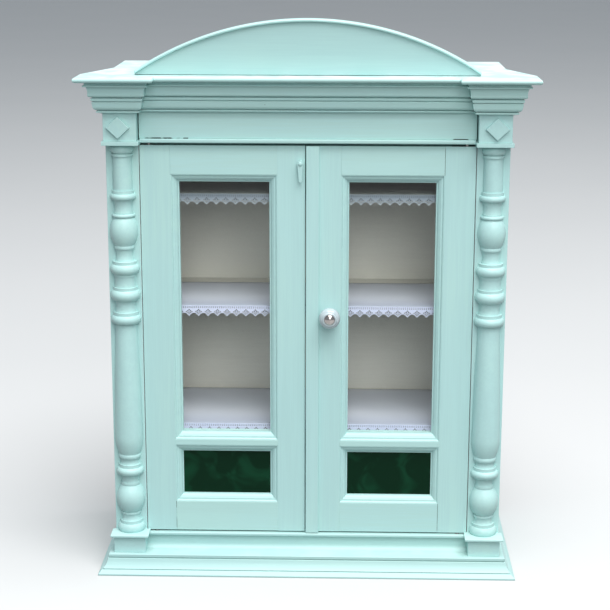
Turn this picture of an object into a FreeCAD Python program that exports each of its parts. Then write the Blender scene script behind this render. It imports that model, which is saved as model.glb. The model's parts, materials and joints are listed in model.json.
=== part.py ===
import FreeCAD, Part
import os
from math import asin, cos, sin, sqrt

# Wall display cabinet with two glazed doors between half columns, all sizes in millimetres.
# X runs to the right, Y from the front to the wall, Z up. The origin is the middle of the
# footprint, on the surface under the base. A distance called front is measured from the
# face of the doors and pilasters: plus towards the viewer, minus towards the wall.

V = FreeCAD.Vector

# Carcass
carcass_width = 600.0
carcass_depth = 230.0
side_thickness = 18.0
back_thickness = 8.0
back_rebate = 8.0
top_thickness = 14.0
floor_thickness = 18.0
floor_housing = 6.0

# Heights of what stands on the base, from the bottom up
base_height = 30.0
riser_height = 21.0
sill_thickness = 5.0
door_height = 608.0
bead_height = 6.5
frieze_show = 38.5
cornice_height = 55.0

# Pilasters, half columns and their blocks
pilaster_width = 49.0
pilaster_thickness = 20.0
column_radius = 23.0
capital_front = 22.0
capital_plate_height = 6.0
capital_plate_drop = 2.0
capital_plate_lap = 3.0
plinth_front = 27.0
plinth_height = 26.0
plinth_plate_height = 3.0
plinth_plate_lap = 5.0

# Turned members of a column from the top down: height, then the radius at the top, in the
# middle and at the bottom. Heights are shares of their own sum, radii of column_radius.
column_shares = (
    (2.0, 0.65, 0.65, 0.65),
    (11.2, 0.66, 0.77, 0.67),
    (1.2, 0.62, 0.62, 0.62),
    (3.5, 0.71, 0.71, 0.71),
    (51.5, 0.63, 0.64, 0.65),
    (5.1, 0.72, 0.72, 0.72),
    (8.8, 0.76, 0.85, 0.76),
    (19.4, 0.66, 0.58, 0.62),
    (2.5, 0.64, 0.64, 0.64),
    (4.9, 0.72, 0.77, 0.72),
    (43.4, 0.65, 0.92, 0.66),
    (5.5, 0.66, 0.69, 0.66),
    (18.7, 0.61, 0.55, 0.62),
    (4.7, 0.80, 0.80, 0.80),
    (14.9, 0.82, 0.97, 0.80),
    (3.5, 0.76, 0.76, 0.76),
    (16.9, 0.72, 0.70, 0.74),
    (4.7, 0.82, 0.82, 0.82),
    (16.3, 0.84, 0.99, 0.80),
    (17.8, 0.72, 0.67, 0.74),
    (5.1, 0.85, 0.85, 0.85),
    (13.0, 0.88, 1.00, 0.86),
    (175.0, 0.72, 0.86, 0.95),
    (34.0, 0.95, 0.92, 0.73),
    (7.6, 0.72, 0.77, 0.72),
    (9.5, 0.67, 0.63, 0.68),
    (5.3, 0.76, 0.76, 0.76),
    (12.0, 0.80, 0.93, 0.78),
    (12.2, 0.63, 0.57, 0.61),
    (5.3, 0.64, 0.66, 0.64),
    (43.2, 0.65, 0.97, 0.65),
    (3.2, 0.70, 0.70, 0.70),
    (11.0, 0.66, 0.61, 0.68),
    (5.3, 0.76, 0.76, 0.76),
    (12.7, 0.82, 0.93, 0.86),
)

# Raised diamond on a capital block
diamond_width = 36.0
diamond_height = 34.0
diamond_thickness = 5.0
diamond_bevel = 4.5
diamond_outward = 2.5

# Frieze, its bead, and the cornice with its breakouts over the capitals
frieze_front = 3.0
frieze_thickness = 20.0
frieze_end_gap = 1.5
bead_front = 8.0
bead_round = 2.2
cornice_reach = 37.0
cornice_inner_reach = 30.0
cornice_return_straight = 55.0
cornice_return_taper = 110.0
# Cornice outline from the top of the nose down: shares of cornice_reach and cornice_height.
# A pair of points is an arc through the first one.
cornice_shares = (
    (0.86, 1.00),
    ((1.00, 0.935), (0.87, 0.869)),
    (0.60, 0.865),
    (0.60, 0.79),
    (0.665, 0.78),
    (0.665, 0.745),
    (0.545, 0.74),
    ((0.50, 0.65), (0.495, 0.535)),
    ((0.47, 0.48), (0.40, 0.465)),
    (0.31, 0.46),
    (0.31, 0.435),
    (0.395, 0.43),
    (0.385, 0.36),
    (0.31, 0.357),
    (0.31, 0.335),
    (0.365, 0.33),
    (0.335, 0.22),
    ((0.30, 0.15), (0.25, 0.115)),
    (0.14, 0.11),
    (0.14, 0.085),
    (0.215, 0.08),
    (0.215, 0.045),
    (0.00, 0.00),
)

# Arched pediment
pediment_past_capital = 2.0
pediment_end = 2.0
pediment_rise = 75.5
pediment_front = 8.0
pediment_thickness = 18.0
pediment_foot_gap = 0.8
pediment_bead = 4.5
pediment_bead_lap = 4.0

# Base: riser, sill and moulding
riser_front = 2.0
riser_thickness = 20.0
riser_cove = 8.0
sill_front = 7.0
sill_round = 1.7
base_reach = 23.0
# Base outline from the top edge down: shares of base_reach and base_height.
base_shares = (
    (0.30, 1.00),
    ((0.328, 0.985), (0.34, 0.95)),
    (0.34, 0.84),
    (0.27, 0.835),
    (0.27, 0.79),
    (0.385, 0.785),
    ((0.52, 0.50), (0.72, 0.30)),
    (0.67, 0.29),
    (0.67, 0.265),
    (0.77, 0.26),
    (0.98, 0.10),
    (1.00, 0.08),
    (1.00, 0.00),
)

# Shelves, battens and runners with a lace edge
shelf_thickness = 10.0
shelf_front = -28.0
shelf_side_gap = 0.5
space_under_lower = 159.5
space_under_middle = 179.5
space_under_upper = 164.0
batten_width = 12.0
batten_height = 20.0
batten_end_gap = 14.0
runner_thickness = 0.8
runner_side_gap = 5.0
runner_back_gap = 36.0
lower_runner_back_gap = 4.0
lace_drop = 16.5
lace_point = 5.0
lace_pitch = 14.4
# Height of the lace edge half way between two points, as a share of the point's height
lace_scoop_share = 0.85

# Doors
door_thickness = 20.0
door_side_gap = 1.2
door_under_gap = 2.0
door_over_gap = 4.0
meeting_gap = 1.4
meeting_x = -2.7
hinge_stile_face = 45.3
left_meeting_face = 41.6
right_meeting_face = 52.5
top_rail_face = 43.5
bottom_rail_face = 47.5
bar_face = 9.0
low_pane_opening = 93.0
tenon_length = 24.0
tenon_thickness = 6.0
tenon_height_share = 0.7
tenon_front = -4.0
stop_clearance = 0.5
stop_section = 10.0
stop_lap = 10.0
stop_side_gap = 45.0

# Glazing moulding inside each opening, and the panes behind it
moulding_width = 12.0
moulding_depth = 10.0
glass_thickness = 3.0
glass_side_gap = 1.0
# Moulding outline from the frame to the pane: shares of moulding_width and of moulding_depth.
moulding_shares = (
    (0.00, 0.03),
    ((0.13, 0.08), (0.20, 0.26)),
    (0.46, 0.30),
    (0.46, 0.40),
    ((0.68, 0.54), (0.86, 0.86)),
    (1.00, 0.88),
    (1.00, 1.00),
)

# Door pivots and their bushes
pivot_inset = 14.0
pivot_setback = 4.0
pivot_radius = 2.5
pivot_running_clearance = 0.05
pivot_engagement = 7.0
pivot_plate_length = 34.0
pivot_plate_width = 6.0
pivot_plate_thickness = 1.5
pivot_plate_margin = 2.0
bush_radius = 4.0
bush_length = 9.0

# Cover strip, knob and turn latch
strip_width = 20.0
strip_thickness = 5.0
strip_drop = 1.0
strip_edge_round = 1.5
knob_rise = 349.0
knob_radius = 16.0
knob_length = 29.0
knob_base_radius = 9.5
knob_base_height = 3.0
knob_neck_radius = 7.5
knob_neck_height = 7.0
knob_ring_radius = 12.5
knob_ring_rise = 25.0
knob_ring_step = 0.9
knob_shoulder_radius = 11.0
knob_shoulder_rise = 27.5
knob_dish_radius = 9.2
knob_dish_depth = 1.0
knob_bolt_radius = 2.0
knob_bolt_clearance = 0.05
knob_cap_radius = 8.2
knob_cap_height = 4.0
knob_nut_radius = 4.5
knob_nut_height = 3.5
knob_bolt_end = 2.5
latch_x = -10.5
latch_drop = 26.0
latch_length = 28.0
latch_hub_radius = 4.5
latch_tip_radius = 2.2
latch_plate = 2.6
latch_strip_clearance = 0.5
latch_screw_radius = 1.6
latch_running_clearance = 0.05
latch_screw_head_radius = 3.4
latch_screw_head_height = 2.2
latch_screw_depth = 12.0

# Hanging plates at the back
hanger_x = 150.0
hanger_width = 24.0
hanger_length = 36.0
hanger_thickness = 2.0
hanger_hole_radius = 4.0
hanger_hole_margin = 10.0
hanger_screw_spacing = 13.0
hanger_screw_radius = 1.6
hanger_screw_head_radius = 3.2
hanger_screw_length = 22.0

overrun = 5.0
# Corners of an outline closer than this are one corner
one_corner = 0.001

# Places that follow from the sizes
half_width = carcass_width / 2
side_inside = half_width - side_thickness
pilaster_inside = half_width - pilaster_width
column_x = half_width - pilaster_width / 2
capital_inside = pilaster_inside
sill_top = base_height + riser_height + sill_thickness
door_bottom = sill_top + door_under_gap
door_top = door_bottom + door_height
bead_bottom = door_top + door_over_gap
frieze_bottom = bead_bottom + bead_height
cornice_bottom = frieze_bottom + frieze_show
pediment_half = capital_inside + pediment_past_capital
cornice_top = cornice_bottom + cornice_height
top_underside = cornice_top - top_thickness
cornice_front = capital_front + cornice_reach
overall_depth = carcass_depth + cornice_front
face_y = cornice_front - overall_depth / 2
wall_front = -carcass_depth
back_front = wall_front + back_thickness
shelf_lower_top = sill_top + space_under_lower + shelf_thickness
shelf_middle_top = shelf_lower_top + space_under_middle + shelf_thickness
shelf_upper_top = shelf_middle_top + space_under_upper + shelf_thickness
capital_plate_bottom = bead_bottom - capital_plate_drop
capital_bottom = capital_plate_bottom + capital_plate_height
plinth_top = base_height + plinth_height
column_bottom = plinth_top + plinth_plate_height
column_top = capital_plate_bottom
base_front = plinth_front + base_reach
rebate_depth = moulding_depth + glass_thickness
stop_front = -door_thickness - stop_clearance
low_opening_bottom = door_bottom + bottom_rail_face
bar_bottom = low_opening_bottom + low_pane_opening
bar_top = bar_bottom + bar_face
high_opening_top = door_top - top_rail_face
latch_plate_back = strip_thickness + latch_strip_clearance
latch_height = door_top - latch_drop
knob_height = door_bottom + knob_rise


def point(x, front, z):
    """A point given by its distance in front of the doors' face."""
    return V(x, face_y - front, z)


def slab(x0, x1, front, back, z0, z1):
    """A board between two places in width, depth and height."""
    return Part.makeBox(x1 - x0, front - back, z1 - z0, point(x0, front, z0))


def rod(x, z, front, back, radius):
    """A round bar that runs from front to back."""
    return Part.makeCylinder(radius, front - back, point(x, front, z), V(0, 1, 0))


def post(x, front, z0, z1, radius):
    """A round bar that stands upright."""
    return Part.makeCylinder(radius, z1 - z0, point(x, front, z0))


def outline(start, steps, place):
    """A flat face through corners, and through arcs where a step has a middle and an end."""
    first = place(*start)
    here = first
    edges = []
    for step in steps:
        if isinstance(step[0], tuple):
            middle, end = [place(*corner) for corner in step]
            edges.append(Part.Arc(here, middle, end).toShape())
        else:
            end = place(*step)
            if here.distanceToPoint(end) > one_corner:
                edges.append(Part.makeLine(here, end))
        here = end
    if here.distanceToPoint(first) > one_corner:
        edges.append(Part.makeLine(here, first))
    return Part.Face(Part.Wire(edges))


def scaled(shares, width, height):
    """An outline's shares turned into sizes."""
    steps = []
    for step in shares:
        if isinstance(step[0], tuple):
            steps.append(tuple((a * width, b * height) for a, b in step))
        else:
            steps.append((step[0] * width, step[1] * height))
    return steps


def dome(x, z, seat, radius, height):
    """A round cap that stands on a seat in front of the doors, part of a ball."""
    ball = (radius ** 2 + height ** 2) / (2 * height)
    half_angle = asin(radius / ball) / 2
    middle = (ball * sin(half_angle), seat + height - ball + ball * cos(half_angle))
    face = outline((0, seat), [(radius, seat), (middle, (0, seat + height))],
                   lambda r, out: point(x + r, out, z))
    return face.revolve(point(x, 0, z), V(0, 1, 0), 360)


def plan_prism(corners, z0, z1):
    """A prism over a plan whose corners are places in width and in front."""
    ring = [point(x, front, z0) for x, front in corners]
    return Part.Face(Part.makePolygon(ring + ring[:1])).extrude(V(0, 0, z1 - z0))


def upright_prism(corners, front, back):
    """A prism over an outline in width and height that runs from front to back."""
    ring = [point(x, front, z) for x, z in corners]
    return Part.Face(Part.makePolygon(ring + ring[:1])).extrude(V(0, front - back, 0))


def mirrored(shape):
    """The same piece on the other side of the cabinet."""
    return shape.mirror(V(0, 0, 0), V(1, 0, 0))


def pair(shape):
    """A piece and its mirror image as one group of two solids."""
    return Part.makeCompound([shape, mirrored(shape)])


nodes = {}


def pivot_x(side):
    """Where a door's pivots stand; side is -1 for the left door and 1 for the right one."""
    return side * (pilaster_inside - door_side_gap - pivot_inset)


def cut_bush_holes(shape):
    """Holes for the four bushes, through whatever of them crosses this piece."""
    for side in (-1, 1):
        x = pivot_x(side)
        shape = shape.cut(post(x, -pivot_setback, sill_top - bush_length, sill_top, bush_radius))
        shape = shape.cut(post(x, -pivot_setback, bead_bottom, bead_bottom + bush_length, bush_radius))
    return shape


# Carcass boards
def side_panel():
    panel = slab(-half_width, -side_inside, -pilaster_thickness, wall_front, 0, top_underside)
    rebate = slab(-side_inside - back_rebate, -side_inside, back_front, wall_front,
                  sill_top - floor_thickness, top_underside)
    housing = slab(-side_inside - floor_housing, -side_inside, -pilaster_thickness, wall_front,
                   sill_top - floor_thickness, sill_top)
    return panel.cut(rebate).cut(housing)


def hanger_notch():
    return slab(hanger_x - hanger_width / 2, hanger_x + hanger_width / 2,
                wall_front + hanger_thickness, wall_front, top_underside, cornice_top)


def hanger_screw_places():
    return [hanger_x - hanger_screw_spacing / 2, hanger_x + hanger_screw_spacing / 2]


def hanger_screw(x):
    """A countersunk screw through the hanging plate into the back edge of the top board."""
    z = cornice_top - top_thickness / 2
    head = Part.makeCone(hanger_screw_head_radius, hanger_screw_radius, hanger_thickness,
                         point(x, wall_front, z), V(0, -1, 0))
    shank_front = wall_front + hanger_screw_length
    return head.fuse(rod(x, z, shank_front, wall_front + hanger_thickness, hanger_screw_radius))


def top_board():
    board = slab(-half_width, half_width, frieze_front, wall_front, top_underside, cornice_top)
    ear = slab(-half_width, -capital_inside, capital_front, frieze_front, top_underside, cornice_top)
    board = board.fuse(ear).fuse(mirrored(ear)).removeSplitter()
    cuts = hanger_notch()
    for x in hanger_screw_places():
        cuts = cuts.fuse(hanger_screw(x))
    return board.cut(cuts).cut(mirrored(cuts))


def hanger_plate():
    bottom = top_underside
    plate = slab(hanger_x - hanger_width / 2, hanger_x + hanger_width / 2,
                 wall_front + hanger_thickness, wall_front, bottom, bottom + hanger_length)
    hole_z = bottom + hanger_length - hanger_hole_margin
    plate = plate.cut(rod(hanger_x, hole_z, wall_front + hanger_thickness, wall_front, hanger_hole_radius))
    for x in hanger_screw_places():
        plate = plate.cut(hanger_screw(x))
    return plate


nodes["side_panel_left"] = side_panel()
nodes["side_panel_right"] = mirrored(side_panel())
nodes["top_board"] = top_board()
nodes["floor_board"] = slab(-side_inside - floor_housing, side_inside + floor_housing,
                            -pilaster_thickness, wall_front, sill_top - floor_thickness, sill_top)
nodes["back_panel"] = slab(-side_inside - back_rebate, side_inside + back_rebate, back_front, wall_front,
                           sill_top, top_underside)
nodes["hanger_plates"] = pair(hanger_plate())
left_screws = [hanger_screw(x) for x in hanger_screw_places()]
nodes["hanger_screws"] = Part.makeCompound(left_screws + [mirrored(screw) for screw in left_screws])


# Shelves on battens, each with a runner whose lace edge hangs over the front
def shelf(top):
    half = side_inside - shelf_side_gap
    return slab(-half, half, shelf_front, back_front, top - shelf_thickness, top)


def batten(top):
    z = top - shelf_thickness
    return slab(-side_inside, -side_inside + batten_width, shelf_front - batten_end_gap,
                back_front + batten_end_gap, z - batten_height, z)


def lace_edge(top):
    """The hanging strip, cut to points along its lower edge with a scoop between two points."""
    half = side_inside - runner_side_gap
    count = int(2 * half / lace_pitch)
    pitch = 2 * half / count
    low = top - lace_drop
    scoop = low + lace_point * lace_scoop_share
    steps = []
    for i in range(count):
        left = -half + i * pitch
        steps.append(((left + pitch / 2, scoop), (left + pitch, low)))
    steps.append((half, top + runner_thickness))
    steps.append((-half, top + runner_thickness))
    lace_front = shelf_front + runner_thickness
    face = outline((-half, low), steps, lambda x, z: point(x, lace_front, z))
    return face.extrude(V(0, runner_thickness, 0))


def runner(top, back_gap):
    half = side_inside - runner_side_gap
    laid = slab(-half, half, shelf_front, back_front + back_gap, top, top + runner_thickness)
    return laid.fuse(lace_edge(top)).removeSplitter()


shelves = {"upper": (shelf_upper_top, runner_back_gap),
           "middle": (shelf_middle_top, runner_back_gap),
           "lower": (shelf_lower_top, lower_runner_back_gap)}
battens = []
for name, (top, back_gap) in shelves.items():
    nodes["shelf_" + name] = shelf(top)
    nodes["runner_" + name] = runner(top, back_gap)
    battens += [batten(top), mirrored(batten(top))]
nodes["shelf_battens"] = Part.makeCompound(battens)


# Pilasters with half columns, their plinths and capitals
def half_column():
    total = sum(member[0] for member in column_shares)
    z = column_top
    rim = []
    for height, top, middle, bottom in column_shares:
        drop = (column_top - column_bottom) * height / total
        radii = [share * column_radius for share in (top, middle, bottom)]
        rim.append((radii[0], z))
        end = (radii[2], z - drop)
        straight = abs(2 * radii[1] - radii[0] - radii[2]) < one_corner
        rim.append(end if straight else ((radii[1], z - drop / 2), end))
        z -= drop
    rim.append((0, column_bottom))
    face = outline((0, column_top), rim, lambda r, h: point(r - column_x, 0, h))
    return face.revolve(point(-column_x, 0, 0), V(0, 0, -1), 180)


def diamond():
    x = -(half_width + capital_inside) / 2 - diamond_outward
    z = (capital_bottom + cornice_bottom) / 2
    rings = []
    for front, inset in ((capital_front, 0), (capital_front + diamond_thickness, diamond_bevel)):
        w = diamond_width / 2 - inset
        h = diamond_height / 2 - inset
        corners = [point(x - w, front, z), point(x, front, z + h)]
        corners += [point(x + w, front, z), point(x, front, z - h)]
        rings.append(Part.makePolygon(corners + corners[:1]))
    return Part.makeLoft(rings, True, True)


pilaster = slab(-half_width, -pilaster_inside, 0, -pilaster_thickness, base_height, column_top)
capital = slab(-half_width, -capital_inside, capital_front, -pilaster_thickness,
               capital_bottom, top_underside)
capital_plate = slab(-half_width - capital_plate_lap, -capital_inside + capital_plate_lap,
                     capital_front + capital_plate_lap, -pilaster_thickness,
                     capital_plate_bottom, capital_bottom)
plinth = slab(-half_width, -capital_inside, plinth_front, 0, base_height, plinth_top)
plinth_plate = slab(-half_width - plinth_plate_lap, -pilaster_inside + plinth_plate_lap,
                    plinth_front + plinth_plate_lap, 0, plinth_top, column_bottom)
nodes["pilaster_left"] = pilaster
nodes["pilaster_right"] = mirrored(pilaster)
nodes["half_column_left"] = half_column()
nodes["half_column_right"] = mirrored(half_column())
nodes["capital_blocks"] = pair(capital)
nodes["capital_diamonds"] = pair(diamond())
nodes["capital_plates"] = pair(capital_plate)
nodes["plinth_blocks"] = pair(plinth)
nodes["plinth_plates"] = pair(plinth_plate)


# Frieze and cornice
def cornice_run(place, along, corners, reach):
    """One length of the cornice with this reach, mitred by the plan that it keeps to."""
    steps = scaled(cornice_shares, reach, cornice_height)
    face = outline((0, cornice_height), steps, place)
    return face.extrude(along).common(plan_prism(corners, cornice_bottom, cornice_top))


def cornice_across(front, corners):
    """A length that runs across the cabinet on a backing at this distance in front."""
    span = half_width + cornice_reach
    place = lambda out, up: point(-span, front + out, cornice_bottom + up)
    return cornice_run(place, V(2 * span, 0, 0), corners, cornice_reach)


def cornice_back(x, outward, corners, reach):
    """A length that runs from front to back on an upright plane at x."""
    place = lambda out, up: point(x + outward * out, cornice_front, cornice_bottom + up)
    return cornice_run(place, V(0, overall_depth, 0), corners, reach)


def cornice_breakout():
    """The lengths round a capital: along the side, across the front, and back to the frieze."""
    reach = cornice_reach
    tip_x = -half_width - reach
    outer = (-half_width, capital_front)
    outer_tip = (tip_x, cornice_front)
    straight_end = cornice_front - cornice_return_straight
    inner = (-capital_inside, capital_front)
    inner_tip = (-capital_inside + cornice_inner_reach, cornice_front)
    root = (-capital_inside, frieze_front)
    root_tip = (-capital_inside + cornice_inner_reach, frieze_front + reach)
    side = cornice_back(-half_width, -1, [outer, outer_tip, (tip_x, straight_end),
                                          (-half_width, straight_end - cornice_return_taper)], reach)
    across = cornice_across(capital_front, [outer, inner, inner_tip, outer_tip])
    inward = cornice_back(-capital_inside, 1, [root, inner, inner_tip, root_tip], cornice_inner_reach)
    return Part.makeCompound([side, across, inward])


def cornice_centre():
    inner_x = capital_inside - cornice_inner_reach
    nose = frieze_front + cornice_reach
    return cornice_across(frieze_front, [
        (-capital_inside, frieze_front), (capital_inside, frieze_front), (inner_x, nose), (-inner_x, nose)])


frieze_half = capital_inside - frieze_end_gap
frieze = slab(-frieze_half, frieze_half, frieze_front, frieze_front - frieze_thickness,
              frieze_bottom, top_underside)
bead_half = capital_inside - capital_plate_lap
bead = slab(-bead_half, bead_half, bead_front, stop_front, bead_bottom, frieze_bottom)
nose = [edge for edge in bead.Edges
        if edge.BoundBox.YMax < face_y and edge.BoundBox.XLength > bead_half]
nodes["frieze_board"] = cut_bush_holes(frieze)
nodes["frieze_bead"] = cut_bush_holes(bead.makeFillet(bead_round, nose))
nodes["cornice_centre"] = cornice_centre()
nodes["cornice_left"] = cornice_breakout()
nodes["cornice_right"] = mirrored(cornice_breakout())


# Pediment: a segment of a circle with a bead bent along its edge
def pediment():
    half = pediment_half
    low = cornice_top + pediment_end
    high = low + pediment_rise
    radius = (half ** 2 + pediment_rise ** 2) / (2 * pediment_rise)
    centre_z = high - radius
    outer_low = centre_z + sqrt((radius + pediment_bead) ** 2 - half ** 2)
    board_place = lambda x, z: point(x, pediment_front, z)
    board = outline((-half, cornice_top), [(-half, low), ((0, high), (half, low)), (half, cornice_top)],
                    board_place)
    bead_place = lambda x, z: point(x, pediment_front + pediment_bead_lap, z)
    strip = outline((-half, low), [((0, high), (half, low)), (half, outer_low),
                                   ((0, high + pediment_bead), (-half, outer_low))], bead_place)
    foot_gap = slab(-half, half, pediment_front, pediment_front - pediment_thickness / 2,
                    cornice_top, cornice_top + pediment_foot_gap)
    return (board.extrude(V(0, pediment_thickness, 0)).cut(foot_gap),
            strip.extrude(V(0, pediment_thickness + pediment_bead_lap, 0)))


nodes["pediment_board"], nodes["pediment_bead"] = pediment()


# Base: moulding round three sides, riser and sill
def base_outline(place):
    steps = [(0, base_height)] + scaled(base_shares, base_reach, base_height)
    return outline((-overrun, base_height), steps + [(-overrun, 0)], place)


def base_moulding_front():
    tip = half_width + base_reach
    inner_back = -pilaster_thickness
    face = base_outline(lambda out, up: point(-tip, plinth_front + out, up))
    moulded = face.extrude(V(2 * tip, 0, 0))
    board = slab(-half_width, half_width, plinth_front - overrun, inner_back, 0, base_height)
    corners = [(-tip, base_front), (tip, base_front), (half_width, plinth_front),
               (half_width, inner_back), (-half_width, inner_back), (-half_width, plinth_front)]
    return moulded.fuse(board).removeSplitter().common(plan_prism(corners, 0, base_height))


def base_return():
    tip = half_width + base_reach
    face = base_outline(lambda out, up: point(-half_width - out, base_front, up))
    corners = [(-tip, base_front), (-half_width, plinth_front)]
    corners += [(-half_width, wall_front), (-tip, wall_front)]
    return face.extrude(V(0, carcass_depth + base_front, 0)).common(plan_prism(corners, 0, base_height))


def base_riser():
    """The upright board under the sill, with a cove at its foot."""
    toe = riser_front + riser_cove
    bend = riser_cove * (1 - sqrt(1 / 2))
    riser_top = base_height + riser_height
    steps = [(riser_front - riser_thickness, riser_top), (riser_front, riser_top),
             (riser_front, base_height + riser_cove),
             ((riser_front + bend, base_height + bend), (toe, base_height))]
    face = outline((riser_front - riser_thickness, base_height), steps,
                   lambda front, z: point(-capital_inside, front, z))
    return face.extrude(V(2 * capital_inside, 0, 0))


sill = slab(-capital_inside, capital_inside, sill_front, -pilaster_thickness,
            base_height + riser_height, sill_top)
nose = [edge for edge in sill.Edges
        if edge.BoundBox.YMax < face_y and edge.BoundBox.XLength > capital_inside]
nodes["base_moulding"] = base_moulding_front()
nodes["base_returns"] = pair(base_return())
nodes["base_riser"] = cut_bush_holes(base_riser())
nodes["door_sill"] = cut_bush_holes(sill.makeFillet(sill_round, nose))

# Stops behind the doors, clear of the hinge ends where the doors swing in
stop_half = pilaster_inside - stop_side_gap
stop_back = stop_front - stop_section
nodes["door_stops"] = Part.makeCompound([
    slab(-stop_half, stop_half, stop_front, stop_back, door_top - stop_lap, frieze_bottom),
    slab(-stop_half, stop_half, stop_front, stop_back, sill_top, sill_top + stop_section)])


# Bushes in the sill and the bead, in which the doors' pivots turn
def bushes():
    found = []
    bore = pivot_radius + pivot_running_clearance
    for side in (-1, 1):
        for low in (sill_top - bush_length, bead_bottom):
            place = (pivot_x(side), -pivot_setback, low, low + bush_length)
            found.append(post(*place, bush_radius).cut(post(*place, bore)))
    return Part.makeCompound(found)


nodes["pivot_bushes"] = bushes()


# Doors: a frame of stiles and rails, rebated in front for the panes and their mouldings
def layered(x0, x1, z0, z1, x2, x3, z2, z3):
    """A frame member: the face layer, and the wider ledge layer behind it that carries the glass."""
    face = slab(x0, x1, 0, -rebate_depth, z0, z1)
    ledge = slab(x2, x3, -rebate_depth, -door_thickness, z2, z3)
    return face.fuse(ledge).removeSplitter()


def tenons(x0, x1, z0, z1):
    """Both tenons of a rail whose face reaches from x0 to x1."""
    height = (z1 - z0) * tenon_height_share
    z = (z0 + z1 - height) / 2
    back = tenon_front - tenon_thickness
    return (slab(x0 - tenon_length, x0, tenon_front, back, z, z + height),
            slab(x1, x1 + tenon_length, tenon_front, back, z, z + height))


def moulding_strips(x0, x1, z0, z1):
    """Four mitred lengths inside an opening."""
    w = moulding_width
    steps = scaled(moulding_shares, moulding_width, moulding_depth)
    start = (0, moulding_depth)
    lie = outline(start, steps, lambda a, b: point(x0, -b, z0 + a)).extrude(V(x1 - x0, 0, 0))
    hang = outline(start, steps, lambda a, b: point(x0, -b, z1 - a)).extrude(V(x1 - x0, 0, 0))
    left = outline(start, steps, lambda a, b: point(x0 + a, -b, z0)).extrude(V(0, 0, z1 - z0))
    right = outline(start, steps, lambda a, b: point(x1 - a, -b, z0)).extrude(V(0, 0, z1 - z0))
    plans = (
        (lie, [(x0, z0), (x1, z0), (x1 - w, z0 + w), (x0 + w, z0 + w)]),
        (hang, [(x0, z1), (x1, z1), (x1 - w, z1 - w), (x0 + w, z1 - w)]),
        (left, [(x0, z0), (x0 + w, z0 + w), (x0 + w, z1 - w), (x0, z1)]),
        (right, [(x1, z0), (x1 - w, z0 + w), (x1 - w, z1 - w), (x1, z1)]),
    )
    return [strip.common(upright_prism(corners, 0, -moulding_depth)) for strip, corners in plans]


def pane(x0, x1, z0, z1):
    gap = glass_side_gap
    return slab(x0 + gap, x1 - gap, -moulding_depth, -rebate_depth, z0 + gap, z1 - gap)


def pivot(side, end):
    """A plate let into the end of the hinge stile, with the pin; end is -1 below and 1 above."""
    edge = side * (pilaster_inside - door_side_gap)
    near = edge - side * pivot_plate_margin
    far = near - side * pivot_plate_length
    back = -pivot_setback - pivot_plate_width / 2
    z = door_bottom if end < 0 else door_top
    z_in = z - end * pivot_plate_thickness
    plate = slab(min(near, far), max(near, far), back + pivot_plate_width, back, min(z, z_in), max(z, z_in))
    reach = pivot_engagement + (door_under_gap if end < 0 else door_over_gap)
    pin_end = z + end * reach
    return plate.fuse(post(pivot_x(side), -pivot_setback, min(z, pin_end), max(z, pin_end), pivot_radius))


def make_door(name, side, meeting_edge, meeting_face):
    """All pieces of one door's frame, glazing and pivots."""
    hinge_edge = side * (pilaster_inside - door_side_gap)
    hinge_in = hinge_edge - side * hinge_stile_face
    meet_in = meeting_edge + side * meeting_face
    ledge = moulding_width
    x0, x1 = sorted((hinge_in, meet_in))

    def stile(edge, inner):
        deep = inner + (ledge if inner > edge else -ledge)
        face = sorted((edge, inner))
        back = sorted((edge, deep))
        return layered(*face, door_bottom, door_top, *back, door_bottom, door_top)

    openings = {"lower": (low_opening_bottom, bar_bottom), "upper": (bar_top, high_opening_top)}
    rails = {
        "bottom_rail": (door_bottom, low_opening_bottom, door_bottom, low_opening_bottom + ledge),
        "glazing_bar": (bar_bottom, bar_top, bar_bottom - ledge, bar_top + ledge),
        "top_rail": (high_opening_top, door_top, high_opening_top - ledge, door_top),
    }
    stiles = {"hinge_stile": stile(hinge_edge, hinge_in), "meeting_stile": stile(meeting_edge, meet_in)}
    for rail, (z0, z1, z2, z3) in rails.items():
        solid = layered(x0, x1, z0, z1, x0 + ledge, x1 - ledge, z2, z3)
        for tenon in tenons(x0, x1, z0, z1):
            solid = solid.fuse(tenon)
            stiles = {key: piece.cut(tenon) for key, piece in stiles.items()}
        nodes[name + "_" + rail] = solid.removeSplitter()
    pivots = [pivot(side, -1), pivot(side, 1)]
    for piece in pivots:
        stiles["hinge_stile"] = stiles["hinge_stile"].cut(piece)
    for key, piece in stiles.items():
        nodes[name + "_" + key] = piece
    strips = []
    for pane_name, (z0, z1) in openings.items():
        strips += moulding_strips(x0, x1, z0, z1)
        nodes[name + "_" + pane_name + "_pane"] = pane(x0, x1, z0, z1)
    nodes[name + "_mouldings"] = Part.makeCompound(strips)
    nodes[name + "_pivots"] = Part.makeCompound(pivots)


left_meeting_edge = meeting_x - meeting_gap / 2
right_meeting_edge = meeting_x + meeting_gap / 2
make_door("left", -1, left_meeting_edge, left_meeting_face)
make_door("right", 1, right_meeting_edge, right_meeting_face)

# Cover strip along the right door's meeting edge
strip = slab(right_meeting_edge, right_meeting_edge + strip_width, strip_thickness, 0,
             door_bottom - strip_drop, door_top)
rounded = [edge for edge in strip.Edges
           if edge.BoundBox.ZLength > door_height / 2 and edge.BoundBox.YMax < face_y - strip_thickness / 2]
nodes["cover_strip"] = strip.makeFillet(strip_edge_round, rounded)

# Knob with its bolt and nut, in the middle of the stile's face that the strip leaves free
knob_x = right_meeting_edge + (strip_width + right_meeting_face) / 2
knob_seat = knob_length - knob_dish_depth


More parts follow.
